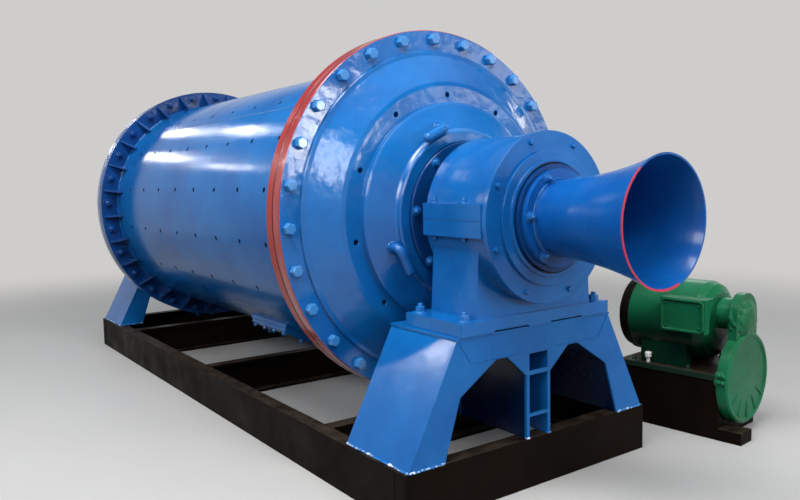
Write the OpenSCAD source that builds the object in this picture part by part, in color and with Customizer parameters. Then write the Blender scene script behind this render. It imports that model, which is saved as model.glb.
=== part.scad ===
// Ball mill: a horizontal grinding drum carried on two trunnion bearings, with its stands, base frame
// and drive motor. The drum's axis lies along Y, the discharge end faces -Y, +Z is up, and the origin
// is on the floor under the middle of the drum. All sizes are millimetres.

/* [Drum] */
// Length of the shell, over the outer faces of its two end flanges
shell_len = 2900; // [2600:10:3600]
// Outside diameter of the shell plate
shell_d = 1540; // [1400:10:1700]
// Thickness of the shell plate
shell_wall = 22; // [14:1:35]
// Width of an end flange, outside the shell plate
flange_w = 120; // [105:1:140]
// Thickness of each shell flange
shell_flange_t = 60; // [40:5:80]
// Number of triangular gussets behind each shell flange
gusset_count = 28; // [20:1:36]
// Length of a gusset along the shell
gusset_len = 110; // [60:5:160]
// Thickness of a gusset plate
gusset_t = 14; // [8:1:20]
// Number of liner bolt rows around the shell
liner_rows = 18; // [12:1:20]
// Number of liner bolt holes along one row
liner_row_holes = 8; // [6:1:10]
// Distance of the last hole of a row from the end of the shell
liner_end = 351; // [250:1:400]
// Diameter of a liner bolt hole
liner_hole_d = 26; // [18:1:36]
// Clearance between the drum's flanges and the base frame
drum_clear = 70; // [40:5:140]

/* [Manhole] */
// Length of the manhole opening along the drum
manhole_l = 360; // [280:10:400]
// Width of the manhole opening around the drum
manhole_w = 300; // [220:10:320]
// Distance of the manhole's middle from the discharge end of the shell
manhole_end = 1020; // [980:5:1060]
// Width of the frame around the manhole opening
manhole_rim = 45; // [30:5:60]
// Thickness of the frame and of the cover plate
manhole_t = 20; // [12:1:24]

/* [End covers] */
// Thickness of the bolted rim of an end cover
cover_flange_t = 60; // [40:5:80]
// Width of the flat bolted rim
cover_rim_w = 100; // [90:1:115]
// Width of the outer cone, from the bolted rim to the flat ring
cover_cone_w = 175; // [150:5:200]
// Height of the flat ring above the bolted rim
cover_ring_h = 100; // [80:5:120]
// Width of the flat ring
cover_ring_w = 80; // [70:1:90]
// Height of the hub rim above the bolted rim
cover_hub_h = 212; // [190:2:240]
// Width of the hub rim around the trunnion's flange
hub_rim_w = 55; // [40:1:65]
// Wall thickness of the casting
cover_wall = 55; // [40:5:65]
// Number of liner bolt holes in an end cover
cover_hole_count = 11; // [8:1:16]
// Turn of the first of these holes from the horizontal
cover_hole_turn = 27; // [0:1:32]
// Distance of these holes from the outer edge of the flat ring
cover_hole_edge = 43; // [25:1:55]

/* [Lifting hooks] */
// Number of lifting hooks on the discharge end's cover
lug_count = 4; // [2:1:6]
// Diameter of a hook's bar
lug_bar = 46; // [28:1:50]
// Length of a hook along the cover
lug_span = 165; // [140:5:200]
// Height of a hook's bar above the cover
lug_rise = 50; // [40:1:60]

/* [Trunnions] */
// Diameter of the journal that runs in the bearing
journal_d = 450; // [420:5:480]
// Diameter of the passage through a trunnion
passage_d = 300; // [240:5:360]
// Width of the flange that bolts to the hub, outside the journal
trunnion_flange_w = 120; // [105:1:135]
// Thickness of that flange
trunnion_flange_t = 36; // [25:1:45]
// How far a journal stands out of its bearing
journal_past = 39; // [32:1:60]

/* [Discharge horn] */
// Length of the horn in front of its flange
horn_len = 498; // [400:2:600]
// How much the horn's mouth is wider than its root, on the radius
horn_flare = 94; // [70:2:120]
// Thickness of the horn's sheet
horn_wall = 8; // [5:1:12]
// How far the horn's flange stays inside the journal's edge
horn_flange_inset = 20; // [5:1:30]
// Thickness of that flange
horn_flange_t = 22; // [16:1:30]

/* [Bearings] */
// Clearance between a trunnion's flange and its bearing
bearing_gap = 112; // [60:1:140]
// Length of the bearing housing along the axis
bearing_len = 372; // [330:2:400]
// Thickness of the bearing bush
bush_t = 38; // [30:1:45]
// Running gap between the journal and its bush, measured on the radius
running_gap = 0.05; // [0.02:0.01:0.1]
// Wall thickness of the round housing
housing_wall = 89; // [70:1:110]
// How far the split flanges stand out beside the housing
ear_over = 16; // [8:1:40]
// Height of each half of the split flange
ear_h = 70; // [50:2:90]
// Wall of the column beside the bush, at the split flange
column_wall = 62; // [40:1:80]
// How much wider the column is at its foot, on each side
column_spread = 20; // [5:1:40]
// Height of the bearing's middle above its sole plate
bearing_centre_h = 405; // [370:5:450]
// Thickness of the bolted front ring
ring_t = 26; // [16:1:40]
// How far the front ring stands out around the housing
ring_over = 12; // [4:1:20]
// Width of the seal ring on its face
seal_w = 53; // [45:1:60]
// Gap between turning pieces and the pieces that stand still
clear_gap = 8; // [6:1:12]
// Thickness of the bearing's sole plate
sole_t = 50; // [40:2:60]
// Length of the sole plate along the axis
sole_len = 370; // [330:5:390]
// How far the sole plate stands out beside the column
sole_ledge = 102; // [80:1:120]
// Thickness of the levelling pads under the sole plate
pad_t = 8; // [6:1:14]

/* [Stands] */
// Clearance between a stand and the hub rim, along the axis
stand_gap = 8; // [5:1:40]
// Depth of a stand along the axis
stand_d = 450; // [430:5:520]
// How far a stand's foot stays inside the edge of the base frame
stand_edge = 18; // [0:1:40]
// How far a stand's shoulders stand out beside the sole plate
stand_shoulder = 15; // [5:1:30]
// Thickness of the stand's plates
stand_plate = 14; // [8:1:20]
// Thickness of the stand's top plate
stand_top_t = 12; // [8:1:24]

/* [Base frame] */
// Height of the base frame's channels
base_h = 220; // [180:5:260]
// Width of the base frame
base_w = 1460; // [1380:10:1540]
// How far the base frame runs past the stands
base_over = 2; // [0:1:60]
// Width of a channel's flanges
beam_w = 75; // [60:1:90]
// Thickness of a channel's flanges
beam_flange_t = 14; // [8:1:20]
// Thickness of a channel's web
beam_web_t = 10; // [6:1:16]
// Distance of an outer cross beam from the end of the base frame
cross_end = 702; // [600:2:900]

/* [Motor] */
// Distance between the mill's axis and the middle of the motor's gear case
motor_x = 1318; // [1280:2:1420]
// Turn of the motor unit on the floor, gear case outwards
motor_turn = 6; // [0:1:10]
// Radius of the motor's body
motor_r = 208; // [180:2:230]
// How far the motor's drive end lies beyond the end cover's face
motor_set = 246; // [200:2:300]
// Length of the motor's body
motor_len = 497; // [460:1:560]
// Height of the motor's pedestal
motor_ped_h = 334; // [310:2:360]
// Height of the motor's feet, between the pedestal and its body
motor_foot_h = 33; // [20:1:50]

/* [Hidden] */
$fn = 96;
front = -1;
rear = 1;
shell_r = shell_d / 2;
shell_in_r = shell_r - shell_wall;
flange_r = shell_r + flange_w;
axis_z = base_h + drum_clear + flange_r;
half_len = shell_len / 2;
cover_face = half_len + cover_flange_t;
liner_pitch = (shell_len - 2 * liner_end) / (liner_row_holes - 1);
manhole_y = half_len - manhole_end;
journal_r = journal_d / 2;
passage_r = passage_d / 2;
trunnion_flange_r = journal_r + trunnion_flange_w;
cover_step_r = flange_r - cover_rim_w;
cover_ring_r = cover_step_r - cover_cone_w;
cover_inner_r = cover_ring_r - cover_ring_w;
cover_hole_r = cover_ring_r - cover_hole_edge;
cover_hub_r = trunnion_flange_r + hub_rim_w;
hub_seat_over = 20;
hub_seat_h = cover_hub_h - hub_seat_over;
spigot_h = 30;
spigot_gap = 1;
bush_in_r = journal_r + running_gap;
bush_r = journal_r + bush_t;
housing_r = bush_r + housing_wall;
ring_r = housing_r + ring_over;
ear_half_w = housing_r + ear_over;
bearing_in = cover_face + hub_seat_h + trunnion_flange_t + bearing_gap;
bearing_out = bearing_in + bearing_len;
ring_face = bearing_out + ring_t;
trunnion_end = ring_face + journal_past;
column_half_w = bush_r + column_wall;
sole_half_w = column_half_w + column_spread + sole_ledge;
sole_top = axis_z - bearing_centre_h;
stand_top_z = sole_top - sole_t - pad_t;
stand_in = cover_face + cover_hub_h + stand_gap;
stand_out = stand_in + stand_d;
stand_foot_w = base_w / 2 - stand_edge;
stand_top_w = sole_half_w + stand_shoulder;
base_end = stand_out + base_over;
base_len = 2 * base_end;
cross_y = base_end - cross_end;
beam_x = base_w / 2 - beam_w / 2;
blue = [0.05, 0.32, 0.66];
red = [0.72, 0.16, 0.17];
black = [0.06, 0.05, 0.05];
green = [0.07, 0.42, 0.26];
bronze = [0.62, 0.45, 0.25];

// Turns a form drawn about +Z so that +Z points outwards at one end of the drum, at a distance y
module at_end(side, y = 0) {
    translate([0, side * y, axis_z])
        rotate([side < 0 ? 90 : -90, 0, 0])
            children();
}

// Draws an outline given in X and Z, starting at a distance y and running outwards for a length
module plate_xz(y, t) {
    translate([0, y + t, 0])
        rotate([90, 0, 0])
            linear_extrude(t)
                children();
}

function unit(v) = v / norm(v);
function left_of(v) = [-v[1], v[0]];
function mitre(n1, n2) = unit(n1 + n2) / (unit(n1 + n2) * n1);
function side_point(p, i, t) =
    i == 0 ? p[0] + t * left_of(unit(p[1] - p[0])) :
    i == len(p) - 1 ? p[i] + t * left_of(unit(p[i] - p[i - 1])) :
    p[i] + t * mitre(left_of(unit(p[i] - p[i - 1])), left_of(unit(p[i + 1] - p[i])));
function beyond(a, b, d) = b + d * unit(b - a);

// A plate of thickness t seen on edge, bent along a path and lying on its left-hand side
module path_strip(p, t) {
    polygon(concat(p, [for (i = [len(p) - 1 : -1 : 0]) side_point(p, i, t)]));
}

// Base frame: rolled channels with their webs outside and their flanges pointing inwards
module side_beam(side) {
    len = base_len - 2 * beam_w;
    color(black)
        translate([side * beam_x, len / 2, 0])
            rotate([90, 0, 0])
                linear_extrude(len)
                    channel(side);
}

// A channel's section, centred on its width, with its web towards one side
module channel(side) {
    for (z = [0, base_h - beam_flange_t])
        translate([-beam_w / 2, z])
            square([beam_w, beam_flange_t]);
    translate([side * (beam_w - beam_web_t) / 2 - beam_web_t / 2, 0])
        square([beam_web_t, base_h]);
}

module beam_across(y, span, side) {
    translate([-span / 2, y, 0])
        rotate([90, 0, 90])
            linear_extrude(span)
                channel(side);
}

module end_beam(side) {
    color(black) {
        beam_across(side * (base_end - beam_w / 2), base_w, side);
        for (s = [-1, 1])
            translate([
                s * (base_w - beam_web_t) / 2 - beam_web_t / 2,
                side > 0 ? base_end - beam_w : -base_end, 0
            ])
                cube([beam_web_t, beam_w, base_h]);
    }
}

module cross_beam(y) {
    color(black)
        beam_across(y, base_w - 2 * beam_w, 1);
}

module base_left_beam() side_beam(-1);
module base_right_beam() side_beam(1);
module base_front_beam() end_beam(front);
module base_rear_beam() end_beam(rear);
module base_cross_beam_front() cross_beam(-cross_y);
module base_cross_beam_middle() cross_beam(0);
module base_cross_beam_rear() cross_beam(cross_y);

// Stands: welded boxes with two arches, sloping sides, two upright webs and a ladder between them
leg_w = 182;
knee_in = 83;
foot_in_w = stand_foot_w - leg_w;
knee_w = foot_in_w - knee_in;
knee_z = base_h + 254;
arch_w = [250, 186];
arch_z = stand_top_z - 117;
post_out = 72;
post_in = 56;
window_h = 76;
window_z = arch_z - 5 - window_h;
bridge_h = 19;
post_top_z = window_z - bridge_h;
rung_z = base_h + 102;
rung_h = 14;
arch_path = [
    [-foot_in_w, base_h], [-knee_w, knee_z], [-arch_w[0], arch_z], [-arch_w[1], arch_z],
    [-post_out, post_top_z]
];

module stand_outer() {
    polygon([
        [-stand_foot_w, base_h], [stand_foot_w, base_h],
        [stand_top_w, stand_top_z - stand_top_t], [-stand_top_w, stand_top_z - stand_top_t]
    ]);
}

module stand_outline() {
    difference() {
        stand_outer();
        for (s = [0, 1])
            mirror([s, 0])
                polygon(concat(arch_path, [[-post_out, base_h - 1], [-foot_in_w, base_h - 1]]));
        translate([-post_out, base_h - 1])
            square([2 * post_out, post_top_z - base_h + 1]);
        translate([-post_in, window_z])
            square([2 * post_in, window_h]);
    }
}

module stand(side) {
    y0 = side < 0 ? -stand_out : stand_in;
    color(blue) {
        for (y = [y0, y0 + stand_d - stand_plate])
            plate_xz(y, stand_plate)
                stand_outline();
        plate_xz(y0, stand_d)
            intersection() {
                stand_outer();
                for (s = [0, 1])
                    mirror([s, 0])
                        stand_sides();
            }
        plate_xz(side < 0 ? y0 + stand_plate : y0, stand_d - stand_plate)
            for (s = [0, 1])
                mirror([s, 0])
                    translate([post_in, base_h])
                        square([post_out - post_in, stand_top_z - stand_top_t - base_h]);
    }
}

module stand_sides() {
    top = [-stand_top_w, stand_top_z - stand_top_t];
    foot = [-stand_foot_w, base_h];
    path_strip([beyond(foot, top, 2 * stand_plate), beyond(top, foot, 2 * stand_plate)], stand_plate);
    path_strip([
        beyond(arch_path[1], arch_path[0], 2 * stand_plate), arch_path[1], arch_path[2], arch_path[3]
    ], stand_plate);
}

top_over = 4;

module stand_top(side) {
    w = stand_top_w + top_over;
    color(blue)
        translate([-w, side < 0 ? -stand_out - base_over : stand_in, stand_top_z - stand_top_t])
            cube([2 * w, stand_d + base_over, stand_top_t]);
}

module stand_ladder(side) {
    y0 = side < 0 ? -stand_out : stand_out - stand_plate;
    color(blue)
        plate_xz(y0, stand_plate) {
            for (s = [0, 1])
                mirror([s, 0])
                    translate([post_in, base_h])
                        square([post_out - post_in, post_top_z - base_h]);
            translate([-post_in, rung_z - rung_h / 2])
                square([2 * post_in, rung_h]);
        }
}

module front_stand() stand(front);
module front_stand_top() stand_top(front);
module front_stand_ladder() stand_ladder(front);
module rear_stand() stand(rear);
module rear_stand_top() stand_top(rear);
module rear_stand_ladder() stand_ladder(rear);

// Bearings: split housings on a column that spreads towards the sole plate
sole_over = 10;
sole_out = stand_out + sole_over;
sole_in = sole_out - sole_len;
column_set = 20;
column_inner = bearing_in + column_set;
column_out = bearing_out - 57;
slot_x = [68, 265];
seal_h = [14, 24];
seal_step_w = 38;

module bearing_base(side) {
    color(blue)
        difference() {
            union() {
                plate_xz(side < 0 ? -column_out : column_inner, column_out - column_inner)
                    polygon([
                        [-column_half_w - column_spread, sole_top - 1],
                        [column_half_w + column_spread, sole_top - 1],
                        [column_half_w, axis_z - ear_h], [column_half_w, axis_z],
                        [-column_half_w, axis_z], [-column_half_w, axis_z - ear_h]
                    ]);
                at_side(side, sole_in, sole_len, sole_half_w, sole_top - sole_t, sole_t);
                for (s = [-1, 1])
                    translate([s * (sole_half_w + slot_x[1]) / 2, 0, 0])
                        at_side(side, sole_in, sole_len, (sole_half_w - slot_x[1]) / 2,
                                stand_top_z, pad_t + 1);
                at_side(side, sole_in, sole_len, slot_x[0], stand_top_z, pad_t + 1);
                at_side(side, bearing_in, bearing_len, ear_half_w, axis_z - ear_h, ear_h);
                housing_half(side, -1);
            }
            at_end(side, bearing_in - 1)
                cylinder(r = bush_r, h = bearing_len + 2);
        }
}

// A block of half width w between two distances along the axis
module at_side(side, y, len, w, z, h) {
    translate([-w, side < 0 ? -y - len : y, z])
        cube([2 * w, len, h]);
}

// The upper or the lower half of the round housing
module housing_half(side, half) {
    intersection() {
        at_end(side, bearing_in)
            cylinder(r = housing_r, h = bearing_len);
        at_side(side, bearing_in - 1, bearing_len + 2, housing_r + 1,
                half > 0 ? axis_z : axis_z - housing_r - 1, housing_r + 1);
    }
}

module bearing_cap(side) {
    color(blue)
        difference() {
            union() {
                housing_half(side, 1);
                at_side(side, bearing_in, bearing_len, ear_half_w, axis_z, ear_h);
            }
            at_end(side, bearing_in - 1)
                cylinder(r = bush_r, h = bearing_len + 2);
        }
}

module bearing_bush(side) {
    color(bronze)
        at_end(side, bearing_in)
            difference() {
                cylinder(r = bush_r, h = bearing_len);
                translate([0, 0, -1])
                    cylinder(r = bush_in_r, h = bearing_len + 2);
            }
}

module bearing_ring(side) {
    color(blue)
        at_end(side, bearing_out)
            difference() {
                cylinder(r = ring_r, h = ring_t);
                translate([0, 0, -1])
                    cylinder(r = journal_r + clear_gap, h = ring_t + 2);
            }
}

module bearing_seal(side) {
    r = journal_r + clear_gap;
    color(blue)
        at_end(side, ring_face)
            rotate_extrude()
                polygon([
                    [r, 0], [r + seal_w, 0], [r + seal_w, seal_h[0]], [r + seal_w - seal_step_w, seal_h[0]],
                    [r + seal_w - seal_step_w, seal_h[1]], [r, seal_h[1]]
                ]);
}

module front_bearing_base() bearing_base(front);
module front_bearing_cap() bearing_cap(front);
module front_bearing_bush() bearing_bush(front);
module front_bearing_ring() bearing_ring(front);
module front_bearing_seal() bearing_seal(front);
module rear_bearing_base() bearing_base(rear);
module rear_bearing_cap() bearing_cap(rear);
module rear_bearing_bush() bearing_bush(rear);
module rear_bearing_ring() bearing_ring(rear);
module rear_bearing_seal() bearing_seal(rear);

// Drum shell: a rolled tube with rows of liner bolt holes and a manhole
manhole_a = 250;
manhole_depth = 60;
manhole_edge = 8;
drill_past = 20;

module around(a, y) {
    translate([0, -y, axis_z])
        rotate([0, -a, 0])
            children();
}

module shell() {
    color(blue)
        difference() {
            at_end(front, -half_len)
                difference() {
                    cylinder(r = shell_r, h = shell_len);
                    translate([0, 0, -1])
                        cylinder(r = shell_in_r, h = shell_len + 2);
                }
            for (i = [0 : liner_rows - 1])
                for (j = [0 : liner_row_holes - 1])
                    around((i + 0.5) * 360 / liner_rows, (j - (liner_row_holes - 1) / 2) * liner_pitch)
                        translate([shell_in_r - drill_past, 0, 0])
                            rotate([0, 90, 0])
                                cylinder(d = liner_hole_d, h = shell_wall + 2 * drill_past, $fn = 16);
            manhole_block(0);
        }
}

// A block through the shell as large as the opening, grown all round
module manhole_block(grow) {
    around(manhole_a, manhole_y)
        translate([shell_in_r - manhole_depth, -manhole_l / 2 - grow, -manhole_w / 2 - grow])
            cube([shell_wall + 2 * manhole_depth, manhole_l + 2 * grow, manhole_w + 2 * grow]);
}

module curved_layer(r0, r1) {
    at_end(front, manhole_y - manhole_l)
        difference() {
            cylinder(r = r1, h = 2 * manhole_l);
            translate([0, 0, -1])
                cylinder(r = r0, h = 2 * manhole_l + 2);
        }
}

module manhole_frame() {
    color(blue)
        difference() {
            intersection() {
                curved_layer(shell_r, shell_r + manhole_t);
                manhole_block(manhole_rim);
            }
            manhole_block(0);
        }
}

module manhole_cover() {
    color(blue)
        intersection() {
            curved_layer(shell_r + manhole_t, shell_r + 2 * manhole_t);
            manhole_block(manhole_rim - manhole_edge);
        }
}

gusset_root = 10;
gusset_tip = 12;
gusset_turn = 2.2;
rim_cut = 5;

// A bolted flange with triangular gussets towards the shell; the gussets reach into the shell's plate
// and are then cut back to its surface
module shell_flange(side) {
    tint = side < 0 ? red : blue;
    color(tint) {
        at_end(side, half_len - shell_flange_t)
            difference() {
                union() {
                    cylinder(r = flange_r, h = shell_flange_t - rim_cut);
                    translate([0, 0, shell_flange_t - rim_cut])
                        cylinder(r1 = flange_r, r2 = flange_r - rim_cut, h = rim_cut);
                }
                translate([0, 0, -1])
                    cylinder(r = shell_r, h = shell_flange_t + 2);
            }
        at_end(side, half_len - shell_flange_t)
            difference() {
                for (i = [0 : gusset_count - 1])
                    rotate([0, 0, (i + 0.5) * 360 / gusset_count + gusset_turn])
                        rotate([90, 0, 0])
                            translate([0, 0, -gusset_t / 2])
                                linear_extrude(gusset_t)
                                    polygon([
                                        [shell_r - gusset_root, 0], [flange_r - gusset_tip, 0],
                                        [flange_r - gusset_tip, -gusset_tip],
                                        [shell_r + gusset_root, -gusset_len],
                                        [shell_r - gusset_root, -gusset_len]
                                    ]);
                translate([0, 0, -gusset_len - 1])
                    cylinder(r = shell_r, h = gusset_len + 2);
            }
    }
}

module front_shell_flange() shell_flange(front);
module rear_shell_flange() shell_flange(rear);

// End covers: stepped cone castings with a bolted rim, a flat liner bolt ring and a hub rim
cover_step_h = 14;
cover_edge = 4;
cone_foot = 22;
cone_fillet = 20;
inner_step_h = 26;
inner_edge = [10, 6];
hub_fillet = [8, 10];
hub_edge = [8, 6];
seat_gap = 2;
hub_bore_r = passage_r + 20;
hub_low_h = cover_hub_h - hub_seat_over - hub_fillet[1];

cover_outline = [
    [flange_r, -cover_edge], [flange_r - cover_edge, 0], [cover_step_r, 0],
    [cover_step_r, cover_step_h - cover_edge], [cover_step_r - cover_edge, cover_step_h],
    [cover_step_r - cone_foot, cover_step_h + 2],
    [cover_ring_r + cone_fillet, cover_ring_h - 5], [cover_ring_r, cover_ring_h],
    [cover_inner_r, cover_ring_h], [cover_inner_r, cover_ring_h + inner_step_h],
    [cover_inner_r - inner_edge[0], cover_ring_h + inner_step_h + inner_edge[1]],
    [cover_hub_r + hub_fillet[0], hub_low_h], [cover_hub_r, hub_low_h + hub_fillet[1]],
    [cover_hub_r, cover_hub_h - hub_edge[1]], [cover_hub_r - hub_edge[0], cover_hub_h],
    [trunnion_flange_r + seat_gap, cover_hub_h], [trunnion_flange_r + seat_gap, hub_seat_h],
    [hub_bore_r, hub_seat_h]
];

module end_cover(side) {
    w = cover_wall;
    t = cover_flange_t;
    color(blue)
        at_end(side, cover_face)
            difference() {
                rotate_extrude($fn = 160)
                    polygon(concat([[flange_r - rim_cut, -t], [flange_r, rim_cut - t]], cover_outline, [
                        [hub_bore_r, hub_seat_h - w],
                        [cover_hub_r - cone_fillet, hub_seat_h - w - hub_fillet[1]],
                        [cover_ring_r, cover_ring_h - w - inner_edge[1]],
                        [shell_in_r - w, -t + inner_edge[0]],
                        [shell_in_r - w, -t - spigot_h],
                        [shell_in_r - spigot_gap, -t - spigot_h],
                        [shell_in_r - spigot_gap, -t]
                    ]));
                for (i = [0 : cover_hole_count - 1])
                    rotate([0, 0, cover_hole_turn + i * 360 / cover_hole_count])
                        translate([cover_hole_r, 0, -t])
                            cylinder(d = liner_hole_d, h = cover_ring_h + t + drill_past, $fn = 16);
            }
}

journal_fillet = 12;

module trunnion(side) {
    t = trunnion_flange_t;
    y0 = cover_face + hub_seat_h;
    color(blue)
        at_end(side, y0)
            rotate_extrude()
                polygon([
                    [passage_r, 0], [trunnion_flange_r, 0], [trunnion_flange_r, t - cover_edge],
                    [trunnion_flange_r - cover_edge, t],
                    [journal_r + journal_fillet, t], [journal_r, t + journal_fillet],
                    [journal_r, trunnion_end - y0], [passage_r, trunnion_end - y0]
                ]);
}

module front_end_cover() end_cover(front);
module rear_end_cover() end_cover(rear);
module front_trunnion() trunnion(front);
module rear_trunnion() trunnion(rear);

// Lifting hooks: round bars that rise from the inner cone of the front cover and bend over
lug_gap = 4;
lug_r = cover_hub_r + lug_bar / 2 + lug_gap;
lug_bend = 34;
lug_turn = 26;

module lug_bar_path() {
    root = -lug_span / 2 + lug_bar / 2;
    tip = lug_span / 2 - lug_bar / 2;
    translate([root, -lug_rise, 0])
        rotate([-90, 0, 0])
            cylinder(d = lug_bar, h = 2 * lug_rise - lug_bend, $fn = 32);
    translate([root + lug_bend, lug_rise - lug_bend, 0])
        rotate([0, 0, 90])
            rotate_extrude(angle = 90, $fn = 48)
                translate([lug_bend, 0])
                    circle(d = lug_bar, $fn = 32);
    translate([root + lug_bend, lug_rise, 0])
        rotate([0, 90, 0])
            cylinder(d = lug_bar, h = tip - root - lug_bend, $fn = 32);
    translate([tip, lug_rise, 0])
        sphere(d = lug_bar, $fn = 32);
}

module cover_lifting_lugs() {
    cone_top = cover_ring_h + inner_step_h + inner_edge[1];
    slope = (hub_low_h - cone_top) / (cover_inner_r - inner_edge[0] - cover_hub_r - hub_fillet[0]);
    seat_h = cone_top + slope * (cover_inner_r - inner_edge[0] - lug_r);
    color(blue)
        at_end(front, cover_face)
            difference() {
                for (i = [0 : lug_count - 1])
                    rotate([0, 0, lug_turn + i * 360 / lug_count])
                        translate([lug_r, 0, seat_h])
                            rotate([90, 0, 90])
                                lug_bar_path();
                rotate_extrude($fn = 160)
                    polygon(concat([
                        [hub_bore_r, -cover_flange_t], [flange_r, -cover_flange_t]
                    ], cover_outline));
            }
}

// Discharge horn: a bolted flange and a funnel that opens to a wide mouth
horn_root_r = passage_r + horn_wall;
horn_flange_r = journal_r - horn_flange_inset;
horn_neck = 8;
horn_cone = 0.35;
horn_bend = 2.6;
horn_steps = 16;
function horn_r(u) = horn_root_r + horn_flare * (horn_cone * u + (1 - horn_cone) * pow(u, horn_bend));

module discharge_horn() {
    f = horn_flange_t;
    color(blue)
        at_end(front, trunnion_end)
            rotate_extrude()
                polygon(concat(
                    [[passage_r, 0], [horn_flange_r, 0], [horn_flange_r, f], [horn_root_r + horn_neck, f],
                     [horn_root_r, f + horn_neck]],
                    [for (i = [1 : horn_steps]) [horn_r(i / horn_steps), f + horn_len * i / horn_steps]],
                    [for (i = [horn_steps : -1 : 0])
                        [horn_r(i / horn_steps) - horn_wall, f + horn_len * i / horn_steps]]
                ));
}

collar_len = 40;

module feed_collar() {
    f = horn_flange_t;
    color(blue)
        at_end(rear, trunnion_end)
            rotate_extrude()
                polygon([
                    [passage_r, 0], [horn_flange_r, 0], [horn_flange_r, f], [horn_root_r + horn_neck, f],
                    [horn_root_r + horn_neck, f + collar_len], [passage_r, f + collar_len]
                ]);
}

// Drive motor on its own pedestal beside the discharge end
motor_back = cover_face + motor_set;
motor_front = motor_back + motor_len;
motor_z = motor_ped_h + motor_foot_h + motor_r;
motor_step = 14;
motor_ring_w = 26;
motor_cap = [36, 8];
motor_cap_r = motor_r - 70;
motor_dome = 70;
ped_half_w = 210;
ped_start = 24;
ped_len = 553;
ped_plate = 16;
ped_toe_w = 120;
ped_toe_h = 60;
ped_toe_len = 120;
ped_back = motor_back + ped_start;
case_y = ped_back + ped_len;
foot_w = 70;
foot_in = 40;
foot_end = 120;
neck_r = 83;
neck_rise = 44;
neck_z = motor_z + neck_rise;
neck_collar = 14;
case_r = 238;
case_drop = 324;
case_z = neck_z - case_drop;
case_t = 45;
case_front = case_y + case_t;
case_lobe_w = 34;
case_lobe_r = neck_r + case_lobe_w;
box_out = 50;
box_l = 240;
box_h = 176;
box_set = 283;
box_y = motor_back + box_set;
box_drop = 35;
box_low = motor_z - box_drop;

module at_motor(y, z) {
    translate([motor_x, -y, z])
        rotate([90, 0, 0])
            children();
}

// Turns the motor unit about the upright line through the middle of its gear case
module turned_unit() {
    translate([motor_x, -case_front, 0])
        rotate([0, 0, motor_turn])
            translate([-motor_x, case_front, 0])
                children();
}

module motor_pedestal() {
    color(black)
        turned_unit()
            translate([motor_x - ped_half_w, -case_y, 0])
                difference() {
                    union() {
                        cube([2 * ped_half_w, ped_len, motor_ped_h]);
                        translate([0, -ped_toe_len, 0])
                            cube([ped_toe_w, ped_toe_len + ped_plate, ped_toe_h]);
                    }
                    translate([ped_plate, ped_plate, -1])
                        cube([
                            2 * (ped_half_w - ped_plate), ped_len - 2 * ped_plate,
                            motor_ped_h - ped_plate + 1
                        ]);
                }
}

module motor_body() {
    r = motor_r;
    color(green) turned_unit() {
        at_motor(motor_back, motor_z)
            rotate_extrude()
                polygon([
                    [0, -motor_cap[0]], [motor_cap_r, -motor_cap[0]],
                    [r - 2 * motor_step, -motor_cap[1]], [r - motor_step, 0],
                    [r - motor_step, motor_ring_w], [r, motor_ring_w + motor_cap[1]],
                    [r, motor_len - motor_dome], [r - 0.25 * motor_dome, motor_len - 0.45 * motor_dome],
                    [r - 0.75 * motor_dome, motor_len - 0.12 * motor_dome],
                    [neck_r + neck_collar, motor_len], [0, motor_len]
                ]);
        for (s = [-1, 1])
            translate([
                motor_x + s * (motor_r - foot_w / 2 - foot_in) - foot_w / 2,
                -motor_front + foot_end, motor_ped_h
            ])
                cube([foot_w, motor_len - 2 * foot_end, motor_z - motor_ped_h]);
    }
}

module motor_terminal_box() {
    color(green)
        turned_unit()
            difference() {
                translate([motor_x - motor_r - box_out, -box_y - box_l, box_low])
                    cube([box_out + motor_r / 2, box_l, box_h]);
                at_motor(box_y - 1, motor_z)
                    cylinder(r = motor_r, h = box_l + 2);
                translate([motor_x - motor_r, -box_y - box_l - 1, box_low - 1])
                    cube([motor_r, box_l + 2, motor_z - box_low + 1]);
            }
}

module motor_neck() {
    color(green)
        turned_unit()
            at_motor(motor_front, neck_z)
                cylinder(r = neck_r, h = case_y - motor_front);
}

module motor_gear_case() {
    color(green)
        turned_unit()
            at_motor(case_y, 0) {
                translate([0, case_z, 0])
                    cylinder(r = case_r, h = case_t);
                translate([0, neck_z, 0])
                    cylinder(r = case_lobe_r, h = case_t);
                translate([-case_lobe_r, case_z, 0])
                    cube([2 * case_lobe_r, neck_z - case_z, case_t]);
            }
}

base_left_beam();
base_right_beam();
base_front_beam();
base_rear_beam();
base_cross_beam_front();
base_cross_beam_middle();
base_cross_beam_rear();
front_stand();
front_stand_top();
front_stand_ladder();
rear_stand();
rear_stand_top();
rear_stand_ladder();
front_bearing_base();
front_bearing_cap();
front_bearing_bush();
front_bearing_ring();
front_bearing_seal();
rear_bearing_base();
rear_bearing_cap();
rear_bearing_bush();
rear_bearing_ring();
rear_bearing_seal();
shell();
front_shell_flange();
rear_shell_flange();
manhole_frame();
manhole_cover();
front_end_cover();
rear_end_cover();
front_trunnion();
rear_trunnion();
cover_lifting_lugs();
discharge_horn();
feed_collar();
motor_pedestal();
motor_body();
motor_terminal_box();
motor_neck();
motor_gear_case();
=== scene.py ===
import math
import random

import bmesh
import bpy
from mathutils import Matrix, Vector, noise


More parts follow.
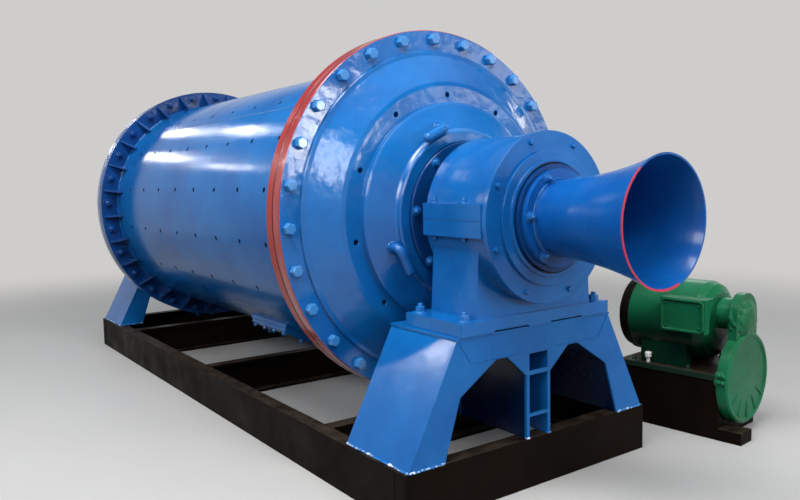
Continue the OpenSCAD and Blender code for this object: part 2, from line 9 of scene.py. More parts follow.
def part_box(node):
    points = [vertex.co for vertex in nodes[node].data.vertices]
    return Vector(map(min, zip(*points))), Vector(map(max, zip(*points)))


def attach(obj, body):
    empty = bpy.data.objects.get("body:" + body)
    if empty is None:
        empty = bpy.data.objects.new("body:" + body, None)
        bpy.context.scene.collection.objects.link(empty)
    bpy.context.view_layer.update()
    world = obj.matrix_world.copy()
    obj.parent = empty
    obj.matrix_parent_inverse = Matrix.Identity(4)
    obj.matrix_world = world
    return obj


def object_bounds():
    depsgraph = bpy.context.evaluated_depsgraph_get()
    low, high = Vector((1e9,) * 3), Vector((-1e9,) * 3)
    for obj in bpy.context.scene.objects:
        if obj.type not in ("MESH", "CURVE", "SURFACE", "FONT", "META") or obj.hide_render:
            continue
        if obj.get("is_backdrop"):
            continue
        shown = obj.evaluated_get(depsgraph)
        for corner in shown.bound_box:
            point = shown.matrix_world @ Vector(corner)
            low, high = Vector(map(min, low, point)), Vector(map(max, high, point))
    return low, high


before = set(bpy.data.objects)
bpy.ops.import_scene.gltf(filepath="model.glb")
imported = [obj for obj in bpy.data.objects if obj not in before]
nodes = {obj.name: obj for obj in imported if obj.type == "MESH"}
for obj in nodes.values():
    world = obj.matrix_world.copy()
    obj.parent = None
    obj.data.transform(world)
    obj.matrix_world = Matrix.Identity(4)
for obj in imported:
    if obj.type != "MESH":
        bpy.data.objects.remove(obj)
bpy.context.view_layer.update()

# Base frame: rolled steel channels welded into a ladder that lies on the floor, webs outwards. The
# steel is brushed with thin brown-black paint after welding, and dust lies on what faces up.
base_top = 0.22
dust_colour = (0.20, 0.15, 0.115, 1)


def node_maker(tree):
    """A function that adds a node of a kind, makes its settings, and sets or links its inputs."""

    def add(kind, inputs=None, **settings):
        n = tree.nodes.new("ShaderNode" + kind)
        for key, value in settings.items():
            setattr(n, key, value)
        for key, value in (inputs or {}).items():
            if isinstance(value, bpy.types.NodeSocket):
                tree.links.new(value, n.inputs[key])
            else:
                n.inputs[key].default_value = value
        return n

    return add


def shader(name):
    """A new material, its main shader, a maker of nodes, and a linker to the shader's inputs."""
    m = bpy.data.materials.new(name)
    m.use_nodes = True
    body = m.node_tree.nodes["Principled BSDF"]

    def link(a, b):
        m.node_tree.links.new(a, body.inputs[b])

    return m, body, node_maker(m.node_tree), link


def blend_colours(add, amount, a, b):
    return add("Mix", {0: amount, 6: a, 7: b}, data_type="RGBA").outputs[2]


def split(add, place):
    return add("SeparateXYZ", {0: place}).outputs


def reckon(add, operation, *values):
    """One step of arithmetic on numbers and node outputs."""
    return add("Math", dict(enumerate(values)), operation=operation).outputs[0]


def stretch(add, value, low, high, to_low=0.0, to_high=1.0, course="LINEAR"):
    """The range from low to high stretched onto another one, and held at its ends."""
    ranges = {"Value": value, 1: low, 2: high, 3: to_low, 4: to_high}
    return add("MapRange", ranges, interpolation_type=course).outputs[0]


def mottle(add, place, scale, detail, roughness=0.5):
    """Patches without a pattern, from 0 to 1."""
    settings = {"Vector": place, "Scale": scale, "Detail": detail, "Roughness": roughness}
    return add("TexNoise", settings).outputs["Fac"]


def relief(add, height, depth, under, strength=1.0):
    """Fine relief of a depth in metres, laid over the relief under it."""
    settings = {"Height": height, "Strength": strength, "Distance": depth, "Normal": under}
    return add("Bump", settings).outputs[0]


def enamel(name, colour, shade, gloss=0.2, swell=0.0, peel=0.25, dust=0.0, coat=0.12, edge=0.003,
           shine=0.20, skin=0.0, second=None):
    """Enamel: cloudy colour, a swelling ground, orange peel, soft edges, and dust on top."""
    m, body, add, link = shader(name)
    place = add("TexCoord").outputs["Object"]
    cloud = mottle(add, place, 2.2, 4.0, 0.6)
    paint = blend_colours(add, stretch(add, cloud, 0.35, 0.7), (*colour, 1), (*shade, 1))
    if second:
        paint = second(add, place, paint)
    if dust:
        faces_up = stretch(add, split(add, add("NewGeometry").outputs["Normal"])["Z"], 0.6, 0.98)
        grit = mottle(add, place, 9.0, 6.0, 0.7)
        lies = reckon(add, "MULTIPLY", faces_up, stretch(add, grit, 0.35, 0.75, 0.0, dust))
        paint = blend_colours(add, lies, paint, dust_colour)
    link(paint, "Base Color")
    patch = mottle(add, place, 5.0, 5.0, 0.65)
    link(stretch(add, patch, 0.3, 0.75, gloss * 0.75, gloss * 1.5), "Roughness")
    swell_depth, skin_depth, peel_depth = 0.004 * swell, 0.0016 * skin, 0.0006
    wavy = mottle(add, place, 7.0, 2.0)
    grain = mottle(add, place, 160.0, 2.0)
    ground = add("Bevel", {"Radius": edge}, samples=4).outputs[0]
    ground = relief(add, wavy, swell_depth, ground)
    if skin:
        lumps = mottle(add, place, 42.0, 4.0, 0.65)
        ground = relief(add, lumps, skin_depth, ground)
    ground = relief(add, grain, peel_depth, ground, strength=peel)
    link(ground, "Normal")
    link(ground, "Coat Normal")
    body.inputs["Coat Weight"].default_value = coat
    body.inputs["Coat Roughness"].default_value = 0.09
    body.inputs["Specular IOR Level"].default_value = shine
    return m


def wear(names, material):
    for n in names:
        nodes[n].data.materials.clear()
        nodes[n].data.materials.append(material)


def piece(name, bm, material, body, crease=35):
    """Finish a mesh as a piece: smooth below the crease angle, painted, and riding on its body."""
    mesh = bpy.data.meshes.new(name)
    bmesh.ops.recalc_face_normals(bm, faces=bm.faces)
    bm.to_mesh(mesh)
    bm.free()
    mesh.shade_smooth()
    mesh.set_sharp_from_angle(angle=math.radians(crease))
    mesh.materials.append(material)
    o = bpy.data.objects.new(name, mesh)
    bpy.context.scene.collection.objects.link(o)
    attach(o, body)
    return o


def on_circle(r, k, sides, turn=0.0, height=0.0):
    a = turn + k * math.tau / sides
    return Vector((r * math.cos(a), r * math.sin(a), height))


def join_loops(bm, loops):
    """Faces between each loop of points and the next."""
    for a, b in zip(loops, loops[1:]):
        for k in range(len(a)):
            bm.faces.new((a[k], a[(k + 1) % len(a)], b[(k + 1) % len(b)], b[k]))


def bead(bm, path, radius, seed, closed=False, sides=6):
    """Lay a weld bead along a path: a cord whose ripples come from small changes of its radius."""
    ripples = random.Random(seed)
    path = [Vector(p) for p in path]
    loops = []
    for i, p in enumerate(path):
        ahead = path[(i + 1) % len(path)] if closed or i < len(path) - 1 else p
        behind = path[i - 1] if closed or i else p
        turn = (ahead - behind).to_track_quat("Z", "Y").to_matrix()
        r = radius * (0.78 + 0.22 * (i % 2) + ripples.uniform(-0.14, 0.20))
        r *= 0.45 if not closed and i in (0, len(path) - 1) else 1.0
        loops.append([bm.verts.new(p + turn @ on_circle(r, k, sides)) for k in range(sides)])
    join_loops(bm, loops + loops[:1] if closed else loops)
    if not closed:
        bm.faces.new(loops[0])
        bm.faces.new(loops[-1])


def steps(a, b, pitch):
    """Points from a to b at about a given pitch."""
    a, b = Vector(a), Vector(b)
    n = max(2, round((b - a).length / pitch))
    return [a.lerp(b, i / n) for i in range(n + 1)]


cross_beams = ["base_cross_beam_" + part for part in ("front", "middle", "rear")]
outer_beams = ["base_" + part + "_beam" for part in ("left", "right", "front", "rear")]
black_paint = enamel("brown_black_paint", (0.0028, 0.0017, 0.0010), (0.0070, 0.0042, 0.0024),
                     gloss=0.46, swell=0.3, dust=0.22, coat=0.0, shine=0.04)
wear(outer_beams + cross_beams, black_paint)

# Welds of the base frame: an upright bead with a short foot at each corner of the frame, and one at
# each end of the cross channels. They carry the frame's own paint.
frame_weld = bmesh.new()
frame_ripple = 0.009
upright_top, flange_line = base_top - 0.008, base_top - 0.001
flange_run = 0.07
corners = [(name, sx) for name in ("base_front_beam", "base_rear_beam") for sx in (-1, 1)]
for i, (name, sx) in enumerate(corners):
    low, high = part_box(name)
    inner = high[1] if name == "base_front_beam" else low[1]
    x = sx * (high[0] - 0.002)
    upright = steps((x, inner, 0.012), (x, inner, upright_top), frame_ripple)
    across = steps((x, inner, flange_line), (x - sx * flange_run, inner, flange_line), frame_ripple)
    bead(frame_weld, upright, 0.0042, 10 + i)
    bead(frame_weld, across, 0.0038, 20 + i)
for i, name in enumerate(cross_beams):
    low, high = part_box(name)
    for k, x in enumerate((low[0], high[0])):
        start, end = (x, low[1] + 0.004, base_top - 0.002), (x, high[1] - 0.004, base_top - 0.002)
        bead(frame_weld, steps(start, end, frame_ripple), 0.0045, 30 + 2 * i + k)
piece("base_frame_welds", frame_weld, black_paint, "frame")

# Stands: boxes of welded plate with two arches and a little ladder between them, welded down on
# the base frame and brushed with thick blue enamel. Inside, near black blue is painted as shade.
deep_blue = (0.0028, 0.080, 0.288)
light_blue = (0.0050, 0.124, 0.380)
# Painted shade: the near black blue laid on the inside of the stands.
painted_shade_blue = (0.0008, 0.009, 0.042)
plate_gloss = dict(gloss=0.22, swell=0.55)
plate_blue = enamel("plate_blue", deep_blue, light_blue, **plate_gloss)
ends = (("front", -1), ("rear", 1))
stand_low, stand_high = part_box("front_stand")
stand_top_x = 0.462
stand_plate = 0.010
ladder_post_x = 0.064


def painted_shade_within(add, place, paint):
    """Painted shade: near black blue on what lies between the outer plates of a stand."""
    at = split(add, place)
    lean = (stand_high[0] - stand_top_x) / (stand_high[2] - base_top)
    foot = stand_high[0] + lean * base_top - stand_plate
    middle = -(stand_low[1] + stand_high[1]) / 2
    depth = (stand_high[1] - stand_low[1]) / 2
    across = reckon(add, "ABSOLUTE", at["X"])
    along = reckon(add, "ABSOLUTE", at["Y"])
    between = reckon(add, "LESS_THAN", across, reckon(add, "MULTIPLY_ADD", at["Z"], -lean, foot))
    behind = reckon(add, "COMPARE", along, middle, depth - stand_plate)
    beside_ladder = reckon(add, "GREATER_THAN", across, ladder_post_x)
    inner = reckon(add, "MULTIPLY", reckon(add, "MULTIPLY", between, behind), beside_ladder)
    return blend_colours(add, inner, paint, (*painted_shade_blue, 1))


# The stands' enamel carries the painted shade inside them.
stand_blue = enamel("stand_blue", deep_blue, light_blue, second=painted_shade_within, **plate_gloss)
wear([side + "_stand" for side, s in ends], stand_blue)
wear([side + "_" + part for side, s in ends for part in ("stand_top", "stand_ladder")], plate_blue)

# Welds of the stands: heavy beads round the feet, thin ones along the folds of the front plate.
# Where the brush missed them bare metal shows, in white flecks that are also painted glints.
fleck_and_glint_blue, body, add, link = shader("flecked_glint_weld")
place = add("TexCoord").outputs["Object"]
# White flecks: bare metal, and painted glints besides.
fleck_and_glint_mask = stretch(add, mottle(add, place, 42.0, 3.0, 0.6), 0.53, 0.60)
link(blend_colours(add, fleck_and_glint_mask, (*light_blue, 1), (0.62, 0.64, 0.66, 1)), "Base Color")
body.inputs["Roughness"].default_value = 0.3
foot_width = 0.182
foot_ripple, ladder_ripple, fold_ripple = 0.011, 0.006, 0.010
bead_out = 0.001
foot_weld = bmesh.new()
fold_weld = bmesh.new()
for side, s in ends:
    low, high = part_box(side + "_stand")
    near, far = (low[1], high[1]) if s < 0 else (high[1], low[1])
    near_line, far_line = near + s * bead_out, far - s * bead_out
    z = base_top + 0.003
    for k, sx in enumerate((-1, 1)):
        foot, inner = sx * high[0], sx * (high[0] - foot_width)
        beside = foot + sx * bead_out
        seed = 100 + 10 * k + (50 if s > 0 else 0)
        bead(foot_weld, steps((beside, near, z), (beside, far, z), foot_ripple), 0.0062, seed)
        for line, number in ((near_line, 1), (far_line, 2)):
            run = steps((foot, line, z), (inner, line, z), foot_ripple)
            bead(foot_weld, run, 0.0058, seed + number)
        post = sx * ladder_post_x
        run = steps((post - 0.012, near_line, z), (post + 0.012, near_line, z), ladder_ripple)
        bead(foot_weld, run, 0.005, seed + 3)
        for x in (0.056, 0.072):
            run = steps((sx * x, near, z), (sx * x, near - s * 0.014, z), ladder_ripple)
            bead(foot_weld, run, 0.004, seed + 4)
        face = near + s * 0.0005
        bend = [(sx * 0.452, face, 0.700), (sx * 0.390, face, 0.606), (sx * 0.105, face, 0.606)]
        fold = steps(bend[0], bend[1], fold_ripple) + steps(bend[1], bend[2], fold_ripple)[1:]
        bead(fold_weld, fold, 0.0024, seed + 5)
piece("stand_foot_welds", foot_weld, fleck_and_glint_blue, "frame")
piece("stand_fold_welds", fold_weld, plate_blue, "frame")

# Bearings: split cast housings bolted down on the stands, with a machined front ring and a seal
# ring. The castings carry the same enamel over a coarser skin; the bush inside is turned bronze.
cast_blue = enamel("cast_blue", deep_blue, light_blue, gloss=0.19, swell=0.9, coat=0.35, edge=0.006,
                   skin=0.25)
housing = ("base", "cap", "ring", "seal")
wear([side + "_bearing_" + part for side, s in ends for part in housing], cast_blue)
bronze, body, add, link = shader("turned_bronze")
place = add("TexCoord").outputs["Object"]
turned = add("TexWave", {"Vector": place, "Scale": 60.0, "Distortion": 0.4}, bands_direction="Y")
link(blend_colours(add, turned.outputs["Fac"], (0.50, 0.32, 0.13, 1), (0.60, 0.41, 0.18, 1)),
     "Base Color")
body.inputs["Metallic"].default_value = 1.0
body.inputs["Roughness"].default_value = 0.35
wear(["front_bearing_bush", "rear_bearing_bush"], bronze)

# Bearing bolts: two through each ear of the split flange, four in the sole plate, eight small
# ones round the front ring. They were fitted before painting, so they wear the enamel too.
axis_z = 1.18
ear_bolt_y, ear_inset, ear_half = (1.905, 2.098), 0.021, 0.070
sole_bolt_x, sole_bolt_y, sole_top = 0.396, (1.858, 2.148), 0.775
ring_bolts, ring_bolt_radius, ring_face_y = 8, 0.332, 2.248


def lathe(bm, profile, at, axis, sides, turn=0.0, lid=True):
    """Turn a profile of (radius, height) pairs about an axis that starts at a point."""
    aim = Vector(axis).to_track_quat("Z", "Y").to_matrix()
    loops = [[bm.verts.new(Vector(at) + aim @ on_circle(r, k, sides, turn, h))
              for k in range(sides)] for r, h in profile]
    join_loops(bm, loops)
    if lid:
        bm.faces.new(loops[-1])


def fastener(bm, at, axis, flats, turn=0.0, stud=0.0, washer=True):
    """A chamfered hexagon on a washer, with the end of its bolt standing out where it is a nut."""
    t = 0.10 * flats if washer else 0.0
    if washer:
        rim = 0.98 * flats
        lathe(bm, [(rim, 0.0), (rim, 0.75 * t), (0.94 * flats, t)], at, axis, 20)
    r = flats / math.sqrt(3)
    top = t + 0.63 * flats
    lathe(bm, [(r, t - 0.1 * flats), (r, top - 0.09 * flats), (0.97 * r, top - 0.045 * flats),
               (0.82 * r, top)], at, axis, 6, turn)
    if stud:
        s, end = 0.31 * flats, top + stud
        lathe(bm, [(s, top - 0.002), (s, end - 0.003), (s - 0.003, end)], at, axis, 14)


draw = random.Random(5)
bearing_bolts = bmesh.new()
for side, s in ends:
    low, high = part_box(side + "_bearing_cap")
    for sx in (-1, 1):
        ear_x = sx * (high[0] - ear_inset)
        for y in ear_bolt_y:
            fastener(bearing_bolts, (ear_x, s * y, axis_z + ear_half), (0, 0, 1), 0.024,
                     draw.uniform(0, 1), stud=0.008)
            fastener(bearing_bolts, (ear_x, s * y, axis_z - ear_half), (0, 0, -1), 0.024,
                     draw.uniform(0, 1))
        for y in sole_bolt_y:
            fastener(bearing_bolts, (sx * sole_bolt_x, s * y, sole_top), (0, 0, 1), 0.038,
                     draw.uniform(0, 1), stud=0.012)
    for i in range(ring_bolts):
        a = math.radians(20 + 360 / ring_bolts * i)
        at = (ring_bolt_radius * math.cos(a), s * ring_face_y,
              axis_z + ring_bolt_radius * math.sin(a))
        fastener(bearing_bolts, at, (0, s, 0), 0.020, draw.uniform(0, 1), washer=False)
piece("bearing_bolts", bearing_bolts, cast_blue, "frame", crease=20)

# Split line of the bearings: the thin packing between cap and base, with paint drawn into it.
# Strips of it show on the outer end of each ear and along its two long edges.
dark_joint, body, add, link = shader("dark_joint")
old = mottle(add, add("TexCoord").outputs["Object"], 60.0, 3.0)
link(blend_colours(add, old, (0.002, 0.040, 0.170, 1), (0.003, 0.075, 0.27, 1)), "Base Color")
body.inputs["Roughness"].default_value = 0.5
ear_start_x = 0.264
strip, proud, packing_height = 0.002, 0.0006, 0.0028
packing = bmesh.new()
for side, s in ends:
    low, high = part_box(side + "_bearing_cap")
    half = high[0] + proud
    y0, y1 = low[1] - proud, high[1] + proud
    strips = (((half - strip, y0), (half, y1)), ((ear_start_x, y0), (half, y0 + strip)),
              ((ear_start_x, y1 - strip), (half, y1)))
    for sx in (-1, 1):
        for a, b in strips:
            for v in bmesh.ops.create_cube(packing, size=1.0)["verts"]:
                v.co = Vector((sx * (a[0] + (v.co.x + 0.5) * (b[0] - a[0])),
                               a[1] + (v.co.y + 0.5) * (b[1] - a[1]),
                               axis_z + packing_height * v.co.z))
piece("bearing_split_packing", packing, dark_joint, "frame")

# Felt rings: cut from thick felt and packed into the seal rings round the journals, where they
# keep the grease in and are black with it.
felt, body, add, link = shader("greasy_felt")
fibre = mottle(add, add("TexCoord").outputs["Object"], 220.0, 4.0)
link(blend_colours(add, fibre, (0.006, 0.006, 0.007, 1), (0.022, 0.020, 0.018, 1)), "Base Color")
body.inputs["Roughness"].default_value = 0.7
felt_outer, felt_inner, felt_thick, felt_y = 0.2334, 0.2264, 0.012, 2.252
felt_section = [(felt_outer, 0), (felt_outer, felt_thick), (felt_inner, felt_thick),
                (felt_inner, 0), (felt_outer, 0)]
rings = bmesh.new()
for s in (-1, 1):
    lathe(rings, felt_section, (0, s * felt_y, axis_z), (0, s, 0), 96, lid=False)
bmesh.ops.remove_doubles(rings, verts=rings.verts, dist=1e-6)
piece("seal_felts", rings, felt, "frame")

# Drum shell: rolled plate with rows of liner bolt holes. Its thick enamel is as smooth as glass,
# so it mirrors the lamps above and the floor below. In the holes and inside, the steel is bare.
shell_radius = 0.770
shell_skin = 0.002


def from_axis(add, place):
    """How far a point is from the drum's axis."""
    at = split(add, place)
    both = add("CombineXYZ", {0: at["X"], 1: reckon(add, "SUBTRACT", at["Z"], axis_z)}).outputs[0]
    return add("VectorMath", {0: both}, operation="LENGTH").outputs["Value"]


def bare_inside(add, place, paint):
    inner = reckon(add, "LESS_THAN", from_axis(add, place), shell_radius - shell_skin)
    return blend_colours(add, inner, paint, (0.012, 0.010, 0.009, 1))


shell_gloss = dict(gloss=0.15, swell=0.22, peel=0.12, coat=0.08, edge=0.002, shine=0.11)
wear(["shell"], enamel("shell_bored", deep_blue, light_blue, second=bare_inside, **shell_gloss))
shell_blue = enamel("shell_blue", deep_blue, light_blue, **shell_gloss)
wear(["manhole_frame", "manhole_cover"], plate_blue)

# Shell seams: the long weld of the rolled plate and the two that hold the end flanges. They stand
# a little proud under the shell's enamel.
seam_turn, seam_half, seam_ripple = 135, 1.39, 0.014
flange_seam_y, flange_seam_points = 1.388, 420
shell_weld = bmesh.new()


def on_drum(radius, degrees, y):
    a = math.radians(degrees)
    return Vector((radius * math.cos(a), y, axis_z + radius * math.sin(a)))


seam_radius = shell_radius - 0.0015
bead(shell_weld, steps(on_drum(seam_radius, seam_turn, -seam_half),
                       on_drum(seam_radius, seam_turn, seam_half), seam_ripple), 0.0042, 200)
for k, s in enumerate((-1, 1)):
    ring = [on_drum(shell_radius + 0.001, 360 * i / flange_seam_points, s * flange_seam_y)
            for i in range(flange_seam_points)]
    bead(shell_weld, ring, 0.0065, 210 + k, closed=True)
piece("shell_welds", shell_weld, shell_blue, "drum")

# Manhole fasteners: studs and nuts round the cover plate, clear of its corners. The studs stand in
# the frame that is welded to the shell.
manhole_y, manhole_turn = -0.430, 250
manhole_half = 0.163
manhole_top = shell_radius + 0.040 - 0.002
manhole_places = [(sx, sy) for sx in (-1, 1) for sy in (-0.187, -0.062, 0.062, 0.187)]
manhole_places += [(sx, sy) for sx in (-0.33, 0.33) for sy in (-0.201, 0.201)]
manhole_bolts = bmesh.new()
for across, along in manhole_places:
    degrees = manhole_turn + math.degrees(across * manhole_half / shell_radius)
    at = on_drum(manhole_top, degrees, manhole_y + along)
    out = at - Vector((0, at.y, axis_z))
    fastener(manhole_bolts, at, out.normalized(), 0.024, draw.uniform(0, 1), stud=0.005)
piece("manhole_nuts", manhole_bolts, plate_blue, "drum")

# End rims: each end cover is bolted to its shell flange with bolts and nuts between the gussets.
# The rims of the discharge end are painted red by hand, so that the line wanders a little.
flange_radius = 0.890
rim_joint_y, rim_groove_half = -1.450, 0.0055
rim_bolts = 28
rim_bolt_radius = 0.846
rim_turn = 2.2
cover_face_y, gusset_face_y = 1.510, 1.390
rim_red = (0.27, 0.018, 0.015)
groove_red = (0.10, 0.006, 0.007)


def red_rim(edge_radius):
    """Red paint where a point is further from the drum's axis than the painted line."""

    def second(add, place, paint):
        drift = mottle(add, place, 14.0, 2.0)
        edge = reckon(add, "MULTIPLY_ADD", drift, 0.004, from_axis(add, place))
        past = reckon(add, "GREATER_THAN", edge, edge_radius + 0.002)
        groove = reckon(add, "COMPARE", split(add, place)["Y"], rim_joint_y, rim_groove_half)
        red = blend_colours(add, groove, (*rim_red, 1), (*groove_red, 1))
        return blend_colours(add, past, paint, red)

    return second


cover_gloss = dict(gloss=0.13, swell=1.6, coat=0.75, edge=0.006, skin=0.5)
wear(["front_end_cover"],
     enamel("cover_red_rim", deep_blue, light_blue, second=red_rim(0.8865), **cover_gloss))
wear(["front_shell_flange"],
     enamel("flange_red_rim", deep_blue, light_blue, swell=0.6, second=red_rim(0.8835)))
# Painted shade: the feed end's flange and nuts take a darker copy of the blue enamel.
far_shaded_blue = enamel("rear_flange_shaded_blue", (0.0018, 0.028, 0.125), (0.0022, 0.046, 0.200), gloss=0.24,
                  swell=0.8, shine=0.2)
wear(["rear_shell_flange"], far_shaded_blue)
wear(["rear_end_cover"], enamel("cover_blue", deep_blue, light_blue, **cover_gloss))
# Painted reflection: the discharge rim's bolts take a paler blue than the enamel round them.
painted_sheen_bolt_blue = enamel("painted_sheen_bolt_blue", (0.030, 0.17, 0.43), (0.045, 0.20, 0.46), gloss=0.13, coat=0.6,
                   edge=0.002)
# Painted shade: the feed end's nuts wear the darker blue of their flange.
for s, name, paint in ((-1, "discharge_rim_bolts", painted_sheen_bolt_blue), (1, "feed_rim_bolts", far_shaded_blue)):
    bolts = bmesh.new()
    for i in range(rim_bolts):
        degrees = -s * (rim_turn + 360 * i / rim_bolts)
        head = on_drum(rim_bolt_radius, degrees, s * cover_face_y)
        nut = on_drum(rim_bolt_radius - 0.004, degrees, s * gusset_face_y)
        fastener(bolts, head, (0, s, 0), 0.048, draw.uniform(0, 1), washer=False)
        fastener(bolts, nut, (0, -s, 0), 0.040, draw.uniform(0, 1), stud=0.016)
    piece(name, bolts, paint, "drum", crease=20)

# Tack welds of the discharge rim: short shiny beads that hold cover and flange together, laid in
# the groove between the two rims and painted red with them.
red_weld = enamel("red_weld", rim_red, (0.22, 0.013, 0.012), gloss=0.16, coat=0.4)
tack_count, tack_radius = 26, flange_radius - 0.0048
tacks = bmesh.new()
for i in range(tack_count):
    start = 7 + i * 360 / tack_count + draw.uniform(-2, 2)
    points = [on_drum(tack_radius, start + 0.45 * k, rim_joint_y + draw.uniform(-0.001, 0.001))
              for k in range(draw.randint(5, 9))]
    bead(tacks, points, 0.0040, 300 + i)
piece("rim_tack_welds", tacks, red_weld, "drum")

# Trunnions: hollow journals whose flanges are bolted into the hubs of the end covers. Between cover
# and bearing their blue is painted darker, as painted shade in the recess.
trunnion_shaded_blue = enamel("trunnion_shaded_blue", (0.0016, 0.030, 0.13), (0.0022, 0.048, 0.19), gloss=0.22,
                       swell=0.4)
wear(["front_trunnion", "rear_trunnion"], trunnion_shaded_blue)
hub_bolt_count, hub_bolt_radius, hub_face_y = 8, 0.318, 1.738
hub_bolts = bmesh.new()
for s in (-1, 1):
    for i in range(hub_bolt_count):
        at = on_drum(hub_bolt_radius, 40 + 360 / hub_bolt_count * i, s * hub_face_y)
        fastener(hub_bolts, at, (0, s, 0), 0.026, draw.uniform(0, 1))
piece("trunnion_bolts", hub_bolts, cast_blue, "drum")

# Lifting hooks: bent round bars on the discharge cover, with a fat bead round each root. The bead
# lies on the cover's cone, so its points are set out to the cone's height.
wear(["cover_lifting_lugs"], cast_blue)
hook_radius, hook_back, root_radius = 0.427, 0.0595, 0.0245
cone_outer, cone_outer_rise = 0.525, 0.132
cone_inner, cone_inner_rise = 0.408, 0.182
root_points = 22
hook_weld = bmesh.new()
for i in range(4):
    a = math.radians(26 + 90 * i)
    root = Vector((hook_radius * math.cos(a) + hook_back * math.sin(a), 0,
                   axis_z + hook_radius * math.sin(a) - hook_back * math.cos(a)))
    ring = []
    for k in range(root_points):
        b = k * math.tau / root_points
        at = root + Vector((root_radius * math.cos(b), 0, root_radius * math.sin(b)))
        away = math.hypot(at.x, at.z - axis_z)
        slope = (cone_inner_rise - cone_outer_rise) / (cone_outer - cone_inner)
        rise = cone_outer_rise + (cone_outer - away) * slope
        ring.append(Vector((at.x, -(cover_face_y + rise), at.z)))
    bead(hook_weld, ring, 0.0068, 400 + i, closed=True)
piece("hook_welds", hook_weld, cast_blue, "drum")

# Discharge horn: rolled sheet flared to a wide mouth, on a bolted flange. Red primer is left along
# one half of its lip, and two welds run along the sheet.
mouth_y, lip_depth = -2.807, 0.006


def lip_primer(add, place, paint):
    at = split(add, place)
    drift = mottle(add, place, 9.0, 2.0)
    edge = reckon(add, "MULTIPLY_ADD", drift, 0.003, at["Y"])
    lip = reckon(add, "LESS_THAN", edge, mouth_y + lip_depth)
    slant = reckon(add, "MULTIPLY_ADD", at["Z"], 0.55, at["X"])
    half = reckon(add, "LESS_THAN", slant, 0.55 * axis_z - 0.04)
    return blend_colours(add, reckon(add, "MULTIPLY", lip, half), paint, (0.42, 0.030, 0.065, 1))


horn_blue = enamel("horn_blue", (0.0023, 0.060, 0.255), (0.0032, 0.095, 0.350), gloss=0.24,
                   swell=0.25, peel=0.15, coat=0.2, edge=0.002, second=lip_primer)
wear(["discharge_horn", "feed_collar"], horn_blue)
collar_bolts, collar_bolt_radius, collar_face_y = 6, 0.182, 2.309
horn_detail = bmesh.new()
for i in range(collar_bolts):
    for s in (-1, 1):
        at = on_drum(collar_bolt_radius, 56 + 360 / collar_bolts * i, s * collar_face_y)
        fastener(horn_detail, at, (0, s, 0), 0.024, draw.uniform(0, 1), stud=0.010)
bead(horn_detail, [on_drum(0.164, 360 * k / 110, -2.311) for k in range(110)], 0.0055, 500,
     closed=True)


def horn_wall(u):
    """Outer radius of the horn at a share of its length."""
    return 0.158 + 0.094 * (0.35 * u + 0.65 * u ** 2.6)


seam_points, seam_start_y, seam_length = 44, -2.317, 0.484
for turn, inset, seed in ((74, 0.001, 501), (254, 0.0075, 502)):
    seam = [on_drum(horn_wall(k / seam_points) - inset, turn,
                    seam_start_y - seam_length * k / seam_points) for k in range(seam_points + 1)]
    bead(horn_detail, seam, 0.0028, seed)
piece("horn_bolts_and_seams", horn_detail, cast_blue, "drum")

# Motor unit: a green enamelled casting with a neck and a gear case at its far end, on a black box
# of folded plate that stands on the floor beside the discharge end, turned a little outwards.
motor_x, motor_z = 1.318, 0.575
motor_back = 1.756
case_front, case_z, neck_z = 2.378, 0.295, 0.619
motor_turn = math.radians(6)
green_shades = (0.004, 0.066, 0.022), (0.008, 0.140, 0.060)
motor_gloss = dict(gloss=0.28, swell=0.8, coat=0.06, edge=0.006, shine=0.12)
motor_green = enamel("motor_green", *green_shades, **motor_gloss)


def painted_shade_below(add, place, paint):
    """Painted shade: the lower half of the casting is darker."""
    low_down = stretch(add, split(add, place)["Z"], 0.68, 0.48, 0.0, 0.85)
    return blend_colours(add, low_down, paint, (0.0012, 0.009, 0.004, 1))


# Painted shade: the motor body's green darkens towards the bottom.
wear(["motor_body"], enamel("painted_shade_green", *green_shades, second=painted_shade_below, **motor_gloss))
wear(["motor_terminal_box", "motor_neck", "motor_gear_case"], motor_green)
wear(["motor_pedestal"], black_paint)


def turn_unit(bm):
    """Turn what was drawn square to the mill about the upright line through the case's face."""
    bmesh.ops.rotate(bm, verts=bm.verts, cent=(motor_x, -case_front, 0),
                     matrix=Matrix.Rotation(motor_turn, 3, "Z"))


# Motor's dark end band: the machined spigot of the drive end and the ring before it, both turned
# with the casting and painted black.
band = bmesh.new()
back = (motor_x, -motor_back, motor_z)
aim = (0, -1, 0)
lathe(band, [(0.190, -0.0005), (0.1945, -0.0002), (0.1955, 0.001), (0.1955, 0.024),
             (0.1938, 0.026)], back, aim, 72, lid=False)
lathe(band, [(0.207, 0.034), (0.2095, 0.035), (0.2095, 0.060), (0.207, 0.061)], back, aim, 72,
      lid=False)
turn_unit(band)
piece("motor_end_band", band, black_paint, "frame")

# Terminal box lid: a pressed lid with rounded corners and a raised rim, held by four screws. It
# closes the box on the side of the motor that faces the mill.
corner_steps = 5
lid_middle = (motor_x - 0.2585, -2.159, 0.628)
lid_half = (0.117, 0.085)
lid_corner, screw_inset = 0.026, 0.026
lid_levels = [(0.0, -0.012), (0.0, 0.006), (0.003, 0.010), (0.010, 0.010), (0.014, 0.004),
              (0.022, 0.002)]


